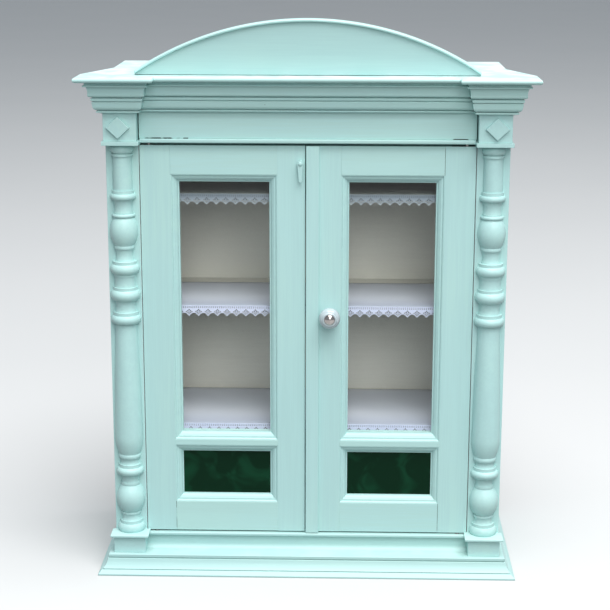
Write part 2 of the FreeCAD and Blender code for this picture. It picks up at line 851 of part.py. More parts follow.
def knob():
    """A full round head on a neck and a foot, dished in front for the cap of the bolt."""
    widest = (knob_neck_height + knob_length) / 2
    steps = [
        (knob_base_radius, 0),
        (knob_base_radius, knob_base_height),
        (knob_neck_radius, knob_base_height),
        (knob_neck_radius, knob_neck_height),
        ((knob_radius, widest), (knob_ring_radius, knob_ring_rise)),
        (knob_ring_radius - knob_ring_step, knob_ring_rise),
        ((knob_shoulder_radius, knob_shoulder_rise), (knob_dish_radius, knob_length)),
        (knob_dish_radius, knob_seat),
        (0, knob_seat),
    ]
    face = outline((0, 0), steps, lambda r, out: point(knob_x + r, out, knob_height))
    return face.revolve(point(knob_x, 0, knob_height), V(0, 1, 0), 360)


def knob_bolt():
    """The bolt with its domed cap, and the nut inside the door."""
    cap = dome(knob_x, knob_height, knob_seat, knob_cap_radius, knob_cap_height)
    nut_front = -door_thickness
    tail = nut_front - knob_nut_height - knob_bolt_end
    bolt = cap.fuse(rod(knob_x, knob_height, knob_seat, tail, knob_bolt_radius)).removeSplitter()
    nut = rod(knob_x, knob_height, nut_front, nut_front - knob_nut_height, knob_nut_radius)
    nut = nut.cut(rod(knob_x, knob_height, nut_front, tail, knob_bolt_radius + knob_bolt_clearance))
    return Part.makeCompound([bolt, nut])


bolt_way = rod(knob_x, knob_height, knob_length, -door_thickness, knob_bolt_radius + knob_bolt_clearance)
nodes["knob"] = knob().cut(bolt_way)
nodes["knob_bolt"] = knob_bolt()
nodes["right_meeting_stile"] = nodes["right_meeting_stile"].cut(bolt_way)


# Turn latch, which hangs from its screw on the left door and swings up over the cover strip
def turn_latch():
    """A flat tapered arm with round ends."""
    hub_front = latch_plate_back + latch_plate
    hub = rod(latch_x, latch_height, hub_front, latch_plate_back, latch_hub_radius)
    tip_z = latch_height - latch_length + latch_tip_radius
    corners = [(latch_x - latch_hub_radius, latch_height), (latch_x + latch_hub_radius, latch_height),
               (latch_x + latch_tip_radius, tip_z), (latch_x - latch_tip_radius, tip_z)]
    arm = upright_prism(corners, hub_front, latch_plate_back)
    tip = rod(latch_x, tip_z, hub_front, latch_plate_back, latch_tip_radius)
    bore = rod(latch_x, latch_height, hub_front, latch_plate_back,
               latch_screw_radius + latch_running_clearance)
    return hub.fuse(arm).fuse(tip).removeSplitter().cut(bore)


def latch_spacer():
    """The ring that holds the arm clear of the cover strip."""
    ring = rod(latch_x, latch_height, latch_plate_back, 0, latch_hub_radius)
    return ring.cut(latch_screw())


def latch_screw():
    head_back = latch_plate_back + latch_plate
    shank = rod(latch_x, latch_height, head_back, -latch_screw_depth, latch_screw_radius)
    head = dome(latch_x, latch_height, head_back, latch_screw_head_radius, latch_screw_head_height)
    return shank.fuse(head).removeSplitter()


nodes["turn_latch"] = turn_latch()
nodes["latch_screw"] = latch_screw()
nodes["latch_spacer"] = latch_spacer()
nodes["left_meeting_stile"] = nodes["left_meeting_stile"].cut(latch_screw())

os.makedirs("parts", exist_ok=True)
for name, shape in nodes.items():
    shape.exportStep(os.path.join("parts", name + ".step"))
    bad = "" if shape.isValid() else "  NOT VALID"
    print(f"{name}: {len(shape.Solids)} solids, {shape.Volume / 1000:.2f} cm3{bad}")
print(len(nodes), "nodes")
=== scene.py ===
# %% [markdown]
# # A painted wall display cabinet
# The boards, mouldings, panes and hardware come in as exact solids, each piece in its place.
# Here they get what a joiner, a painter and a lace maker would add: eased edges, brushed paint,
# grime and painted shade in the creases, glass, a porcelain knob and lace-edged runners on the shelves.
# Everything is in metres. X runs to the right, Y from the front to the wall, Z up.

# %% Load the solids
import json
import math
import bmesh
import bpy
from mathutils import Matrix, Vector


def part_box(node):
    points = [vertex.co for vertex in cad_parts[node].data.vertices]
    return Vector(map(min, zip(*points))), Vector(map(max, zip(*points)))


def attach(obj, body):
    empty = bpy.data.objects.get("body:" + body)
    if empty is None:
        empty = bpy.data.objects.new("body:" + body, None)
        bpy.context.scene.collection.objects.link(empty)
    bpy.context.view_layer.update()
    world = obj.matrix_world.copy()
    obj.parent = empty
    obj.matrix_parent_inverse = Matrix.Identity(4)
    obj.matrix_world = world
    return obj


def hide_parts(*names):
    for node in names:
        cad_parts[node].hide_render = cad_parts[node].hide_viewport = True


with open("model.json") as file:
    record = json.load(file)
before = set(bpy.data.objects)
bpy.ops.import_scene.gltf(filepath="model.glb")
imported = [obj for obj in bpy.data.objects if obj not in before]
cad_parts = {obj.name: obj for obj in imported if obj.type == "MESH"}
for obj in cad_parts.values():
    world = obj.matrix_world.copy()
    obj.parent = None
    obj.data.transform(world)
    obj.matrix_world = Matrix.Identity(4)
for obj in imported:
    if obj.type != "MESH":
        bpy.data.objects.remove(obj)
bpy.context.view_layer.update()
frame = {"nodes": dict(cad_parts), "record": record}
nodes = frame["nodes"]
bodies = frame["record"]["behaviour"]["bodies"]
body_of_node = {node: body for body, names in bodies.items() for node in names}

# %% [markdown]
# ## The camera
# The photograph was taken from a little above the cabinet's top, a little to its right, with a
# long lens: upright edges draw together only slightly. Place, turn and focal length were worked
# out from edges whose sizes are known, so the picture's frame falls where the photograph's does.

# %% Place the camera
PHOTO_PIXELS = 610
FOCAL_PIXELS = 1584.0
SENSOR = 36.0
CAMERA_PLACE = (0.0588, -2.417, 0.9964)
CAMERA_TURN = 1.525
CAMERA_DIP = 13.80
CAMERA_ROLL = 0.084

camera_data = bpy.data.cameras.new("photo_camera")
camera_data.sensor_width = SENSOR
camera_data.lens = FOCAL_PIXELS / PHOTO_PIXELS * SENSOR
camera = bpy.data.objects.new("photo_camera", camera_data)
bpy.context.scene.collection.objects.link(camera)
turn = Matrix.Rotation(math.radians(CAMERA_TURN), 4, "Z")
dip = Matrix.Rotation(math.radians(90 - CAMERA_DIP), 4, "X")
roll = Matrix.Rotation(math.radians(CAMERA_ROLL), 4, "Z")
camera.matrix_world = Matrix.Translation(CAMERA_PLACE) @ turn @ dip @ roll
bpy.context.scene.camera = camera
print("lens", round(camera_data.lens, 1), "mm")

# %% [markdown]
# ## Helpers for nodes
# A finish is a tree of nodes. Setting each node up by hand takes many lines, so a few helpers do
# it: one adds a node and joins it, the others make what nearly every finish needs, such as clouds
# of noise, a value held between limits, and a colour between two others.

# %% Nodes and materials
def add(tree, kind, inputs=None, **settings):
    """One node of a tree, with its settings, and its inputs set to values or joined to sockets."""
    node = tree.nodes.new(kind)
    for key, value in settings.items():
        setattr(node, key, value)
    for key, value in (inputs or {}).items():
        join(tree, value, node.inputs[key])
    return node


def join(tree, value, socket):
    """A socket joined to another one, or set to a value."""
    if isinstance(value, bpy.types.NodeSocket):
        tree.links.new(value, socket)
    else:
        socket.default_value = value


def new_material(name):
    """An empty node material: its tree, the place on the object, and the output node."""
    material = bpy.data.materials.new(name)
    material.use_nodes = True
    tree = material.node_tree
    tree.nodes.clear()
    place = add(tree, "ShaderNodeTexCoord").outputs["Object"]
    return material, tree, place, add(tree, "ShaderNodeOutputMaterial")


def show(tree, out, shader):
    tree.links.new(shader.outputs[0], out.inputs["Surface"])


# %% Values and colours that vary
def clouds(tree, place, scale, detail, distortion=0.0):
    """Noise that drifts over the surface."""
    node = add(tree, "ShaderNodeTexNoise", {"Vector": place, "Scale": scale, "Detail": detail,
                                            "Distortion": distortion})
    return node.outputs["Fac"]


def ramp(tree, value, low, high, start=0.0, end=1.0):
    """A value spread from a low and high limit to a start and end, held outside them."""
    node = add(tree, "ShaderNodeMapRange", {"Value": value, "From Min": low, "From Max": high,
                                            "To Min": start, "To Max": end},
               interpolation_type="SMOOTHSTEP")
    return node.outputs["Result"]


def maths(tree, operation, a, b=0.0):
    return add(tree, "ShaderNodeMath", {0: a, 1: b}, operation=operation).outputs[0]


def vectors(tree, operation, *given):
    return add(tree, "ShaderNodeVectorMath", dict(enumerate(given)), operation=operation).outputs[0]


def blend_colour(tree, share, a, b):
    """A colour between two others, by a share that varies over the surface."""
    node = add(tree, "ShaderNodeMix", {"Factor": share}, data_type="RGBA")
    for key, value in (("A", a), ("B", b)):
        socket = next(s for s in node.inputs if s.name == key and s.type == "RGBA")
        join(tree, value if isinstance(value, bpy.types.NodeSocket) else (*value, 1), socket)
    return next(s for s in node.outputs if s.type == "RGBA")


def bumped(tree, height, strength, distance):
    node = add(tree, "ShaderNodeBump", {"Strength": strength, "Distance": distance, "Height": height})
    return node.outputs["Normal"]


print("helpers ready")

# %% [markdown]
# ## Floor
# A pale, seamless floor stands for the studio. To light that has already bounced off the cabinet
# it looks dark, so that little light comes up from below, as for a cabinet that hangs high. The
# undersides of the mouldings then stay as dark as in the photograph.

# %% The pale floor
FLOOR_REACH = 40.0
FLOOR_TINTS = ((0.60, 0.61, 0.61), (0.63, 0.635, 0.635))
FLOOR_BOUNCE = (0.10, 0.10, 0.10)


def new_object(name, mesh):
    obj = bpy.data.objects.new(name, mesh)
    bpy.context.scene.collection.objects.link(obj)
    return obj


def floor_finish():
    material, tree, place, out = new_material("pale_floor")
    tone = blend_colour(tree, clouds(tree, place, scale=1.3, detail=3.0), *FLOOR_TINTS)
    bounced = add(tree, "ShaderNodeLightPath").outputs["Is Diffuse Ray"]
    shown = blend_colour(tree, bounced, tone, FLOOR_BOUNCE)
    show(tree, out, add(tree, "ShaderNodeBsdfPrincipled", {"Base Color": shown, "Roughness": 0.85}))
    return material


floor_mesh = bpy.data.meshes.new("studio_floor")
corners = [(-FLOOR_REACH, -FLOOR_REACH, 0), (FLOOR_REACH, -FLOOR_REACH, 0),
           (FLOOR_REACH, FLOOR_REACH, 0), (-FLOOR_REACH, FLOOR_REACH, 0)]
floor_mesh.from_pydata(corners, [], [(0, 1, 2, 3)])
floor = new_object("studio_floor", floor_mesh)
floor_mesh.materials.append(floor_finish())
print("floor", 2 * FLOOR_REACH, "m wide")

# %% [markdown]
# ## Light
# Most of the light comes from one very large, soft lamp above and in front: ledges catch it, the
# turned columns go darker below each ball, and the mouldings cast soft shade. A small lamp in
# front keeps the doors even, and the sky colour fills the shadows.

# %% Lamps and sky
SKY_COLOUR = (0.86, 0.93, 1.0, 1)
SKY_STRENGTH = 0.5
CABINET_MIDDLE = (0, 0, 0.4)


def lamp(name, place, size, watts, colour):
    """A square soft lamp that points at the cabinet's middle."""
    data = bpy.data.lights.new(name, "AREA")
    data.size = size
    data.energy = watts
    data.color = colour
    aim = (Vector(CABINET_MIDDLE) - Vector(place)).to_track_quat("-Z", "Y")
    new_object(name, data).matrix_world = Matrix.Translation(place) @ aim.to_matrix().to_4x4()


lamp("overhead_lamp", place=(1.0, -2.0, 6.2), size=5.0, watts=580, colour=(1.0, 0.99, 0.98))
lamp("front_lamp", place=(0.7, -3.9, 2.5), size=2.2, watts=58, colour=(1.0, 0.985, 0.97))
world = bpy.data.worlds.new("studio_sky")
world.use_nodes = True
sky = world.node_tree.nodes["Background"]
sky.inputs["Color"].default_value = SKY_COLOUR
sky.inputs["Strength"].default_value = SKY_STRENGTH
bpy.context.scene.world = world
bpy.context.scene.view_settings.view_transform = "Standard"
print("two lamps and a sky")

# %% [markdown]
# ## Effects that several finishes share
# An effect could be copied into each finish, but then a change has to be made many times. Here
# each one is a node group that puts out a mask or a height, built once and placed in every finish
# with its own values.

# %% Helpers that build and place a group
def new_group(name, inputs, outputs):
    """A shader node group; an input is (name, socket type, default), an output (name, type)."""
    group = bpy.data.node_groups.new(name, "ShaderNodeTree")
    for label, kind, default in inputs:
        socket = group.interface.new_socket(label, in_out="INPUT", socket_type=kind)
        if default is not None:
            socket.default_value = default
    for label, kind in outputs:
        group.interface.new_socket(label, in_out="OUTPUT", socket_type=kind)
    return group, add(group, "NodeGroupInput").outputs, add(group, "NodeGroupOutput").inputs


def use_group(tree, group, **inputs):
    """A group placed in a material, with its inputs by name."""
    return add(tree, "ShaderNodeGroup", inputs, node_tree=group).outputs


VECTOR = "NodeSocketVector"
FLOAT = "NodeSocketFloat"
print("group helpers ready")

# %% [markdown]
# ### Brush marks
# Paint that was brushed by hand keeps fine ridges along each stroke. Noise that is stretched along
# the board gives them; a second, round noise adds the uneven thickness of the coat.

# %% Brush marks
def brush_marks_group():
    group, given, made = new_group(
        "brush_marks",
        [("Place", VECTOR, None), ("Stretch", VECTOR, (300, 300, 12)), ("Ridge", FLOAT, 0.5)],
        [("Streak", FLOAT), ("Height", FLOAT)])
    drawn = vectors(group, "MULTIPLY", given["Place"], given["Stretch"])
    wide = clouds(group, drawn, scale=0.35, detail=3.0)
    fine = clouds(group, drawn, scale=1.6, detail=4.0)
    coat = clouds(group, given["Place"], scale=70.0, detail=2.0)
    ridges = maths(group, "MULTIPLY", fine, given["Ridge"])
    height = maths(group, "ADD", ridges, maths(group, "MULTIPLY", coat, 0.6))
    streak = maths(group, "MULTIPLY", maths(group, "ADD", wide, fine), 0.5)
    group.links.new(streak, made["Streak"])
    group.links.new(height, made["Height"])
    return group


BRUSH_MARKS = brush_marks_group()
print("group:", BRUSH_MARKS.name)

# %% [markdown]
# ### Grime and painted shade
# Grime gathers where pieces meet, and the creases are darkened further as painted shade; a soft
# painted shade also lies under every ledge. Ambient occlusion finds both: a short reach for the
# creases, and a wider one that looks upward for the painted shade under ledges, the shade veil.

# %% Grime and painted shade in the creases
UPWARD_LEAN = (0, 0, 0.8)
SHADE_VEIL_REACH = 4.0
OCCLUSION_SAMPLES = 8


# Both masks darken the colour: the near one is grime and painted shade in creases, the wide one painted shade
# under ledges.
def crease_grime_and_shade_group():
    group, given, made = new_group(
        "crease_grime_and_shade",
        [("Place", VECTOR, None), ("Reach", FLOAT, 0.006), ("Amount", FLOAT, 0.6), ("Veil", FLOAT, 0.0)],
        [("Grime_and_shade", FLOAT)])
    near = add(group, "ShaderNodeAmbientOcclusion", {"Distance": given["Reach"]},
               samples=OCCLUSION_SAMPLES)
    facing = add(group, "ShaderNodeNewGeometry").outputs["Normal"]
    upward = vectors(group, "NORMALIZE", vectors(group, "ADD", facing, UPWARD_LEAN))
    far = maths(group, "MULTIPLY", given["Reach"], SHADE_VEIL_REACH)
    wide = add(group, "ShaderNodeAmbientOcclusion", {"Distance": far, "Normal": upward},
               samples=OCCLUSION_SAMPLES)
    broken = clouds(group, given["Place"], scale=55.0, detail=4.0)
    patchy = ramp(group, broken, low=0.32, high=0.62, start=0.35, end=1.0)
    deep = maths(group, "MULTIPLY", ramp(group, near.outputs["AO"], low=0.62, high=0.22), patchy)
    shade_veil = maths(group, "MULTIPLY", ramp(group, wide.outputs["AO"], low=0.86, high=0.25), given["Veil"])
    grime_and_shade = maths(group, "MULTIPLY", deep, given["Amount"])
    group.links.new(maths(group, "MAXIMUM", grime_and_shade, shade_veil), made["Grime_and_shade"])
    return group


CREASE_GRIME_AND_SHADE = crease_grime_and_shade_group()
print("group:", CREASE_GRIME_AND_SHADE.name)

# %% [markdown]
# ### Dust, wear and painted highlight
# Dust lies on what faces up, in patches. The same mask, with a paler tint, makes the top and the
# cornice's ledges pale: partly worn paint, partly a painted highlight on what faces up.

# %% Dust on what faces up
def settled_dust_group():
    group, given, made = new_group(
        "settled_dust", [("Place", VECTOR, None), ("Amount", FLOAT, 0.3)], [("Dust", FLOAT)])
    normal = add(group, "ShaderNodeNewGeometry").outputs["Normal"]
    facing = add(group, "ShaderNodeSeparateXYZ", {0: normal})
    flat = ramp(group, facing.outputs["Z"], low=0.75, high=0.98)
    patchy = ramp(group, clouds(group, given["Place"], scale=26.0, detail=6.0), low=0.35, high=0.7)
    lying = maths(group, "MULTIPLY", flat, patchy)
    group.links.new(maths(group, "MULTIPLY", lying, given["Amount"]), made["Dust"])
    return group


SETTLED_DUST = settled_dust_group()
print("group:", SETTLED_DUST.name)

# %% [markdown]
# ### Open joints
# Wood moves, and paint splits along a joint. A split is dark inside a thin box, given by its middle
# and its half sizes, and noise breaks it up along its length.

# %% Split paint along a joint
def open_joint_group():
    group, given, made = new_group(
        "open_joint",
        [("Place", VECTOR, None), ("Middle", VECTOR, None), ("Half", VECTOR, None)],
        [("Crack", FLOAT)])
    wander = clouds(group, given["Place"], scale=60.0, detail=2.0)
    away = vectors(group, "SUBTRACT", given["Place"], given["Middle"])
    share = vectors(group, "ABSOLUTE", vectors(group, "DIVIDE", away, given["Half"]))
    sides = add(group, "ShaderNodeSeparateXYZ", {0: share}).outputs
    most = maths(group, "MAXIMUM", maths(group, "MAXIMUM", sides["X"], sides["Y"]), sides["Z"])
    inside = ramp(group, most, low=1.05, high=0.75)
    broken = ramp(group, wander, low=0.36, high=0.48)
    group.links.new(maths(group, "MULTIPLY", inside, broken), made["Crack"])
    return group


OPEN_JOINT = open_joint_group()
print("group:", OPEN_JOINT.name)

# %% [markdown]
# ## Paint
# The wood is painted a cool mint in a satin finish, by brush. The tint drifts a little, the brush
# leaves ridges along the grain, creases hold grime and painted shade, a painted shade lies under
# ledges, and a few dark specks show where nails and knots come through. One recipe with a dozen
# values makes all the painted finishes, so that they look like one coat of paint on different pieces.

# %% A recipe for brushed paint
# The grime colour also gives the painted shade in creases and under ledges; the specks take it too.
GRIME_AND_SHADE = (0.115, 0.195, 0.160)
DUST = (0.640, 0.780, 0.750)
CRACK = (0.020, 0.035, 0.032)
STREAK_SHARE = 0.955


def specks(tree, place, amount):
    """A few small round spots: one in about ten cells of a pattern has one."""
    cells = add(tree, "ShaderNodeTexVoronoi", {"Vector": place, "Scale": 24.0})
    rare = add(tree, "ShaderNodeTexWhiteNoise", {"Vector": cells.outputs["Position"]})
    return maths(tree, "MULTIPLY", ramp(tree, cells.outputs["Distance"], low=0.022, high=0.012),
                 ramp(tree, rare.outputs["Value"], low=0.90, high=0.92, start=0.0, end=amount))


def painted(name, tints, stretch, grime_and_shade=0.3, reach=0.006, shade_veil=0.1, rough=(0.34, 0.5), speck=0.7,
            dust_and_highlight=0.25, pale=DUST, soil_and_shade=GRIME_AND_SHADE, cracks=()):
    """Brushed paint: two tints that drift, brush marks along the stretch, grime and painted shade, specks,
    and dust, which with a pale tint is partly a painted highlight.
    """
    material, tree, place, out = new_material(name)
    marks = use_group(tree, BRUSH_MARKS, Place=place, Stretch=stretch, Ridge=0.6)
    dirt_and_shade = use_group(tree, CREASE_GRIME_AND_SHADE, Place=place, Reach=reach, Amount=grime_and_shade, Veil=shade_veil)["Grime_and_shade"]
    lying = use_group(tree, SETTLED_DUST, Place=place, Amount=dust_and_highlight)["Dust"]
    drift = ramp(tree, clouds(tree, place, scale=5.0, detail=3.0), low=0.3, high=0.7)
    tint = blend_colour(tree, drift, tints[0], tints[1])
    darker = tuple(STREAK_SHARE * c for c in tints[0])
    streaks = ramp(tree, marks["Streak"], low=0.62, high=0.38, start=0.0, end=0.8)
    tint = blend_colour(tree, streaks, tint, darker)
    tint = blend_colour(tree, lying, tint, pale)
    tint = blend_colour(tree, specks(tree, place, speck), tint, soil_and_shade)
    for middle, half in cracks:
        split = use_group(tree, OPEN_JOINT, Place=place, Middle=middle, Half=half)["Crack"]
        tint = blend_colour(tree, split, tint, CRACK)
    tint = blend_colour(tree, dirt_and_shade, tint, soil_and_shade)
    sheen = ramp(tree, marks["Streak"], low=0.3, high=0.7, start=rough[0], end=rough[1])
    normal = bumped(tree, marks["Height"], strength=0.22, distance=0.0004)
    skin = add(tree, "ShaderNodeBsdfPrincipled", {"Base Color": tint, "Roughness": sheen, "Normal": normal})
    skin.inputs["Specular IOR Level"].default_value = 0.42
    show(tree, out, skin)
    return material


print("paint recipe ready")

# %% [markdown]
# ### Mint on each kind of piece
# Boards that stand are brushed up and down, boards that lie are brushed along, and small or turned
# pieces in all directions. Ledges are pale where they face up, partly worn paint and partly a painted
# highlight. The base and the arch have darker tints, a painted shade that evens out the extra light
# they get. The narrow faces of the gap beside each door are paler, a painted light that keeps the
# gap from looking too dark. On the capital blocks the crease under the cornice is a strong painted
# shade. The paint has split under the ends of the frieze and at three ends of the door rails.

# %% Mint finishes
MINT = (0.466, 0.724, 0.714)
MINT_WARM = (0.482, 0.736, 0.702)
COOL, WARM = (MINT, MINT_WARM), (MINT_WARM, MINT)
GAP_LIGHTENED_TINTS = ((0.860, 0.960, 0.950), (0.880, 0.970, 0.950))
WORN_WHITE_AND_HIGHLIGHT = (0.740, 0.820, 0.830)
BRUSHED_UP = (320, 320, 9)
BRUSHED_ALONG = (9, 320, 320)
BRUSHED_ALL_WAYS = (170, 170, 170)
SPLIT_HALF = 0.0007
FRIEZE_SPLIT_RISE = 0.0006
FRIEZE_SPLITS = ((-0.219, 0.031, 0.0008), (-0.180, 0.004, SPLIT_HALF), (0.226, 0.012, SPLIT_HALF))
SPLIT_RAILS = (("right_top_rail", "right"), ("left_bottom_rail", "left"), ("right_bottom_rail", "right"))


def joint_cracks():
    """The middle and half sizes of each split; a frieze split is (x, half length, half height)."""
    frieze_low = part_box("frieze_board")[0].z + FRIEZE_SPLIT_RISE
    found = [((x, 0, frieze_low), (half, 1, thin)) for x, half, thin in FRIEZE_SPLITS]
    for rail, side in SPLIT_RAILS:
        low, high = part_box(rail)
        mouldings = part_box(side + "_mouldings")
        x = mouldings[1].x if side == "right" else mouldings[0].x
        found.append(((x, 0, (low.z + high.z) / 2), (SPLIT_HALF, 1, (high.z - low.z) / 2)))
    return found


def shaded_tints(share):
    """The two mint tints, darker by a share: a painted shade for pieces that get more light than the rest."""
    return [tuple(share * c for c in tint) for tint in COOL]


mint_upright = painted("mint_upright", COOL, BRUSHED_UP, grime_and_shade=0.05, shade_veil=0.05)
mint_level = painted("mint_level", WARM, BRUSHED_ALONG, cracks=joint_cracks())
mint_turned = painted("mint_turned", COOL, BRUSHED_ALL_WAYS, grime_and_shade=0.25, shade_veil=0.05)
# Painted highlight as well as worn paint: the ledges and the top are pale where they face up.
mint_moulded = painted("mint_moulded", WARM, BRUSHED_ALONG, grime_and_shade=0.25, shade_veil=0.05, dust_and_highlight=0.9, pale=WORN_WHITE_AND_HIGHLIGHT)
mint_top = painted("mint_top", WARM, BRUSHED_ALONG, dust_and_highlight=0.9, pale=WORN_WHITE_AND_HIGHLIGHT)
# Painted shade with grime: a dark line in the crease between block and cornice.
mint_block = painted("mint_block", COOL, BRUSHED_ALL_WAYS, grime_and_shade=0.5, reach=0.004, shade_veil=0.0)
mint_mitred = painted("mint_mitred", COOL, BRUSHED_ALL_WAYS, grime_and_shade=0.12, shade_veil=0.05)
# Painted light: the faces of the gap beside each door are painted paler, so the gap's shade looks lighter.
mint_gap_lightened = painted("mint_gap_lightened", GAP_LIGHTENED_TINTS, BRUSHED_UP, grime_and_shade=0.0, shade_veil=0.0, speck=0.0)
# Painted shade: the base and the arch take darker tints to even out the extra light on them.
mint_base_shaded = painted("mint_base_shaded", shaded_tints(0.93), BRUSHED_ALONG, grime_and_shade=0.2, shade_veil=0.2)
mint_arch_shaded = painted("mint_arch_shaded", shaded_tints(0.82), BRUSHED_ALONG, grime_and_shade=0.2)
print("mint finishes, with", len(joint_cracks()), "splits in the paint")

# %% [markdown]
# ### Cream inside
# The inside is a dull cream, darker in the corners and under each shelf: grime and painted shade,
# from the same recipe with a wide reach and no dust. The shelves' front edges, behind the lace, are
# a dark grey: painted shade that shows through the lace's holes.

# %% Cream and grey finishes
CREAM_TINTS = ((0.890, 0.865, 0.780), (0.850, 0.840, 0.755))
# Painted shade: the grey of the shelves' front edges, seen dark through the lace.
SHELF_EDGE_SHADE_TINTS = ((0.16, 0.17, 0.20), (0.20, 0.21, 0.23))
# Grime colour of the inside, also used for its painted shade in corners and under shelves.
INSIDE_GRIME_AND_SHADE = (0.110, 0.110, 0.085)
DULL = (0.6, 0.75)
BRUSHED_INSIDE = (14, 240, 240)

cream_inside = painted("cream_inside", CREAM_TINTS, BRUSHED_INSIDE, grime_and_shade=0.35, reach=0.035, shade_veil=0.38,
                       rough=DULL, dust_and_highlight=0.0, soil_and_shade=INSIDE_GRIME_AND_SHADE)
shelf_edge_shade = painted("shelf_edge_shade", SHELF_EDGE_SHADE_TINTS, BRUSHED_ALONG, rough=DULL)
print("inside:", cream_inside.name, shelf_edge_shade.name)

# %% [markdown]
# ## Bare wood at the back
# Nobody paints the side that faces the wall. The rear of the back panel and the rear edge of the top
# board keep plain pine: long fibres along the board, wavy year rings, a little darkening with age.
# Both are noise, stretched along the grain.

# %% Bare pine
PINE_TINTS = ((0.41, 0.265, 0.140), (0.315, 0.185, 0.088))
PINE_FIBRE = (0.20, 0.11, 0.05)
PINE_SOIL = (0.05, 0.035, 0.025)
RING_STRETCH = (58.0, 58.0, 1.1)
RING_BEND = (0.02, 0.02, 0.02)
FIBRE_STRETCH = (700.0, 700.0, 12.0)


def bare_pine():
    material, tree, place, out = new_material("bare_pine")
    bent = add(tree, "ShaderNodeTexNoise", {"Vector": place, "Scale": 2.2, "Detail": 2.0})
    shifted = vectors(tree, "MULTIPLY_ADD", place, bent.outputs["Color"], RING_BEND)
    along_rings = add(tree, "ShaderNodeMapping", {"Vector": shifted, "Scale": RING_STRETCH})
    along_fibre = add(tree, "ShaderNodeMapping", {"Vector": place, "Scale": FIBRE_STRETCH})
    rings = clouds(tree, along_rings.outputs[0], scale=1.0, detail=6.0)
    fibre = clouds(tree, along_fibre.outputs[0], scale=1.0, detail=3.0)
    tint = blend_colour(tree, ramp(tree, rings, low=0.38, high=0.62), *PINE_TINTS)
    tint = blend_colour(tree, ramp(tree, fibre, low=0.45, high=0.75, start=0.0, end=0.45), tint, PINE_FIBRE)
    dirt_and_shade = use_group(tree, CREASE_GRIME_AND_SHADE, Place=place, Reach=0.012, Amount=0.7)["Grime_and_shade"]
    tint = blend_colour(tree, dirt_and_shade, tint, PINE_SOIL)
    normal = bumped(tree, fibre, strength=0.5, distance=0.0004)
    skin = add(tree, "ShaderNodeBsdfPrincipled", {"Base Color": tint, "Roughness": 0.78, "Normal": normal})
    show(tree, out, skin)
    return material


pine = bare_pine()
print("bare wood:", pine.name)

# %% [markdown]
# ## From loose triangles to closed shells
# The solids come in as loose triangles, and a bevel needs faces that share their edges. A copy of
# each solid is merged, one closed shell at a time, so that two pieces that touch don't grow
# together. Then its flat faces are joined and its sharp edges marked.

# %% Merge a copy of a solid
SAME_CORNER = 2e-6
FLAT_ANGLE = math.radians(0.4)
SHARP_ANGLE = math.radians(30)


def closed_shells(mesh):
    """A solid's triangles, shell by shell: a shell ends where every edge has met its neighbour."""
    shape = bmesh.new()
    shape.from_mesh(mesh)
    same = bmesh.ops.find_doubles(shape, verts=shape.verts, dist=SAME_CORNER)["targetmap"]
    shells, lone = [[]], set()
    for face in shape.faces:
        ring = [same.get(v, v) for v in face.verts]
        ring = [(v.index, v.co.copy()) for v in ring]
        shells[-1].append(ring)
        for (a, _), (b, _) in zip(ring, ring[1:] + ring[:1]):
            if (b, a) in lone:
                lone.remove((b, a))
            else:
                lone.add((a, b))
        if not lone:
            shells.append([])
    shape.free()
    return [shell for shell in shells if shell]


def merged_shell(rings):
    """One shell as a mesh with shared corners, its flat faces joined and its sharp edges marked."""
    shape, corners = bmesh.new(), {}
    for ring in rings:
        for label, spot in ring:
            if label not in corners:
                corners[label] = shape.verts.new(spot)
        if len({label for label, _ in ring}) == 3:
            shape.faces.new([corners[label] for label, _ in ring])
    shape.normal_update()
    bmesh.ops.dissolve_limit(shape, angle_limit=FLAT_ANGLE, verts=shape.verts, edges=shape.edges)
    for face in shape.faces:
        face.smooth = True
    for edge in shape.edges:
        edge.smooth = len(edge.link_faces) == 2 and edge.calc_face_angle() < SHARP_ANGLE
    mesh = bpy.data.meshes.new("shell")
    shape.to_mesh(mesh)
    shape.free()
    return mesh


def merged_copy(node):
    """A copy of a node's mesh, one merged shell for each solid in it."""
    whole = bmesh.new()
    for rings in closed_shells(nodes[node].data):
        shell = merged_shell(rings)
        whole.from_mesh(shell)
        bpy.data.meshes.remove(shell)
    mesh = bpy.data.meshes.new(node)
    whole.to_mesh(mesh)
    whole.free()
    return mesh


print("merging ready")

# %% [markdown]
# ## Easing the edges
# No painted edge is razor sharp: the joiner takes the arris off with sandpaper and paint rounds it
# further. A narrow bevel catches a line of light along every edge, and weighted normals keep the
# flats flat. The finished piece then takes the solid's place and rides on the same body.

# %% A helper that finishes a solid
EASED = 0.0006
FINELY_EASED = 0.0004
BEVEL_STEPS = 2


def settled_mesh(obj):
    """The object's mesh with its modifiers worked in, and the modifiers removed."""
    depsgraph = bpy.context.evaluated_depsgraph_get()
    mesh = bpy.data.meshes.new_from_object(obj.evaluated_get(depsgraph))
    obj.modifiers.clear()
    old, obj.data = obj.data, mesh
    bpy.data.meshes.remove(old)


def ease_edges(piece, width):
    bevel = piece.modifiers.new("eased_edges", "BEVEL")
    bevel.width = width
    bevel.segments = BEVEL_STEPS
    bevel.limit_method = "ANGLE"
    bevel.angle_limit = SHARP_ANGLE
    flats = piece.modifiers.new("flat_faces", "WEIGHTED_NORMAL")
    flats.keep_sharp = True
    settled_mesh(piece)


def finish_solid(node, materials, edge=EASED, other_side=None, mesh=None):
    """A finished piece that stands for a solid; other_side picks faces for the second material."""
    piece = new_object(node + "_finished", mesh or merged_copy(node))
    for material in materials:
        piece.data.materials.append(material)
    if edge:
        ease_edges(piece, edge)
    if other_side:
        for face in piece.data.polygons:
            if other_side(face.center, face.normal):
                face.material_index = 1
    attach(piece, body_of_node[node])
    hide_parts(node)
    return piece


